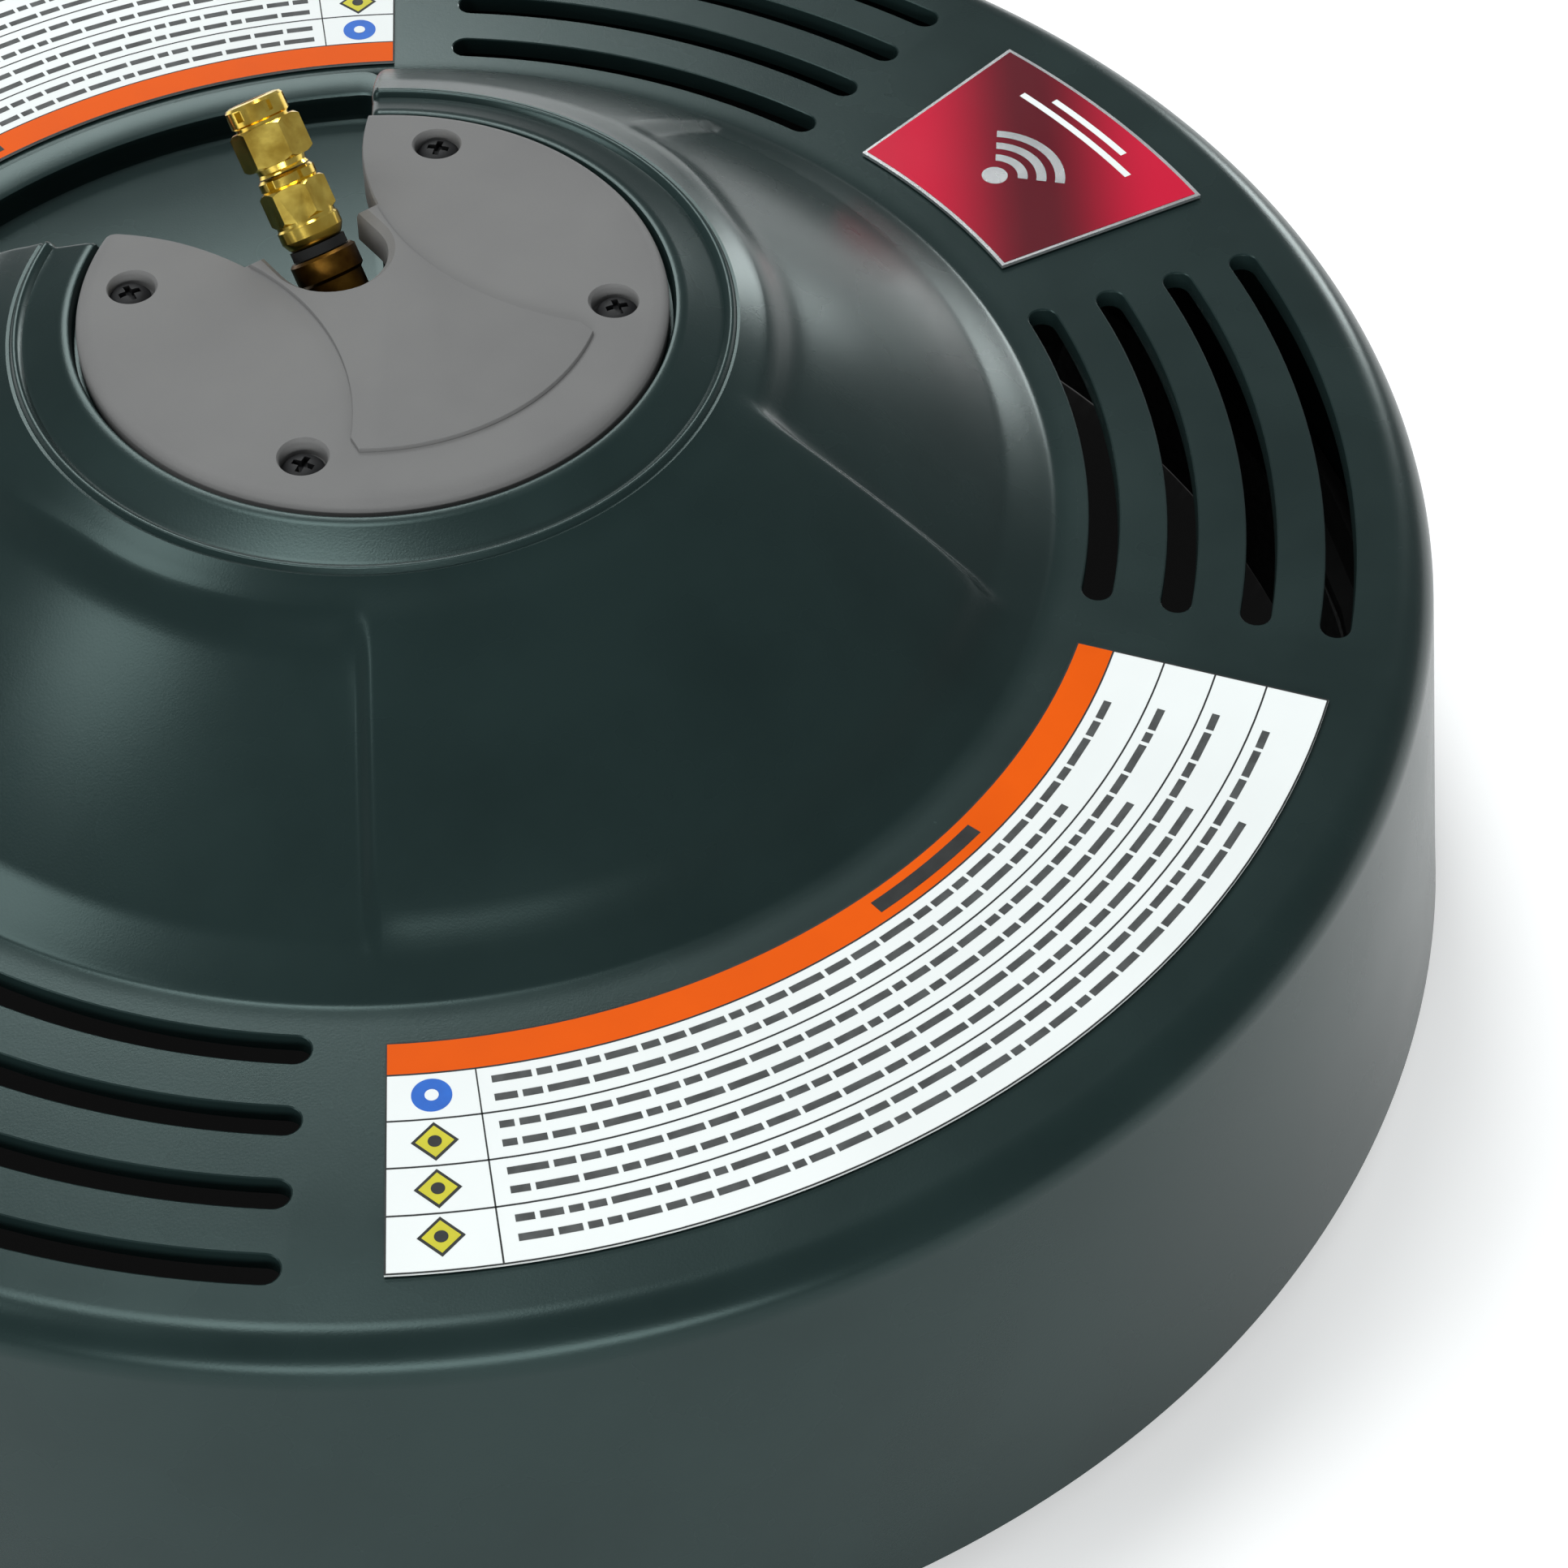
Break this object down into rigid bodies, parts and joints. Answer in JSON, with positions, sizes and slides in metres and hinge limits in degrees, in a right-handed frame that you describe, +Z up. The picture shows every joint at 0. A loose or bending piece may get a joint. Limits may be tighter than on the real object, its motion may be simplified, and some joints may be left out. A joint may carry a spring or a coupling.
{
  "type": "rotary surface cleaner",
  "caption": "Round domed surface cleaner with a brush skirt, a spinning spray bar under the shroud and a tilted inlet for a pressure washer lance.",
  "frame": {"origin": "centre of the base, on the floor that the brush skirt stands on", "axes": "+Z up along the spray bar's axis, +Y towards the lance, -Y to the front label"},
  "size_m": [0.39, 0.39, 0.1548],
  "materials": {
    "shell_plastic": "dark green-grey moulded plastic, fine grain",
    "cover_plastic": "mid grey moulded plastic, fine grain",
    "brass": "polished",
    "dark_brass": "dull, darkened",
    "stainless": "brushed",
    "zinc": "zinc plated",
    "rubber": "matte black",
    "bristle": "black nylon bristle",
    "label_film": "printed film, white with an orange band",
    "plate_red": "dark red with a silver edge"
  },
  "bodies": {
    "root": {"bearing_lower": "stainless", "bearing_spacer": "zinc", "bearing_upper": "stainless", "bristle_skirt": "bristle", "circlip": "stainless", "cover_screw_1": "zinc", "cover_screw_2": "zinc", "cover_screw_3": "zinc", "cover_screw_4": "zinc", "hub_cover": "cover_plastic", "inlet_adapter": "brass", "inlet_elbow": "dark_brass", "inlet_filter": "stainless", "inlet_plug": "brass", "inlet_washer": "rubber", "label_front": "label_film", "label_rear": "label_film", "mounting_plate": "zinc", "nameplate_left": "plate_red", "nameplate_right": "plate_red", "plate_bolt_1": "zinc", "plate_bolt_2": "zinc", "plate_bolt_3": "zinc", "plate_bolt_4": "zinc", "plate_nut_1": "zinc", "plate_nut_2": "zinc", "plate_nut_3": "zinc", "plate_nut_4": "zinc", "pressure_seal": "rubber", "shroud": "shell_plastic", "skirt_retainer": "rubber", "skirt_screw_1": "zinc", "skirt_screw_2": "zinc", "skirt_screw_3": "zinc", "skirt_screw_4": "zinc", "skirt_screw_5": "zinc", "skirt_screw_6": "zinc", "skirt_screw_7": "zinc", "skirt_screw_8": "zinc", "swivel_housing": "zinc"},
    "rotor": {"hub_nut": "stainless", "nozzle_holder_1": "zinc", "nozzle_holder_2": "zinc", "nozzle_tip_1": "brass", "nozzle_tip_2": "brass", "rotor_hub": "zinc", "spray_arm_1": "stainless", "spray_arm_2": "stainless", "swivel_shaft": "stainless"}
  },
  "joints": [
    {"name": "rotor_spin", "type": "hinge", "parent": "root", "child": "rotor", "pos_m": [0, 0, 0.036], "axis": [0, 0, 1], "continuous": true}
  ]
}
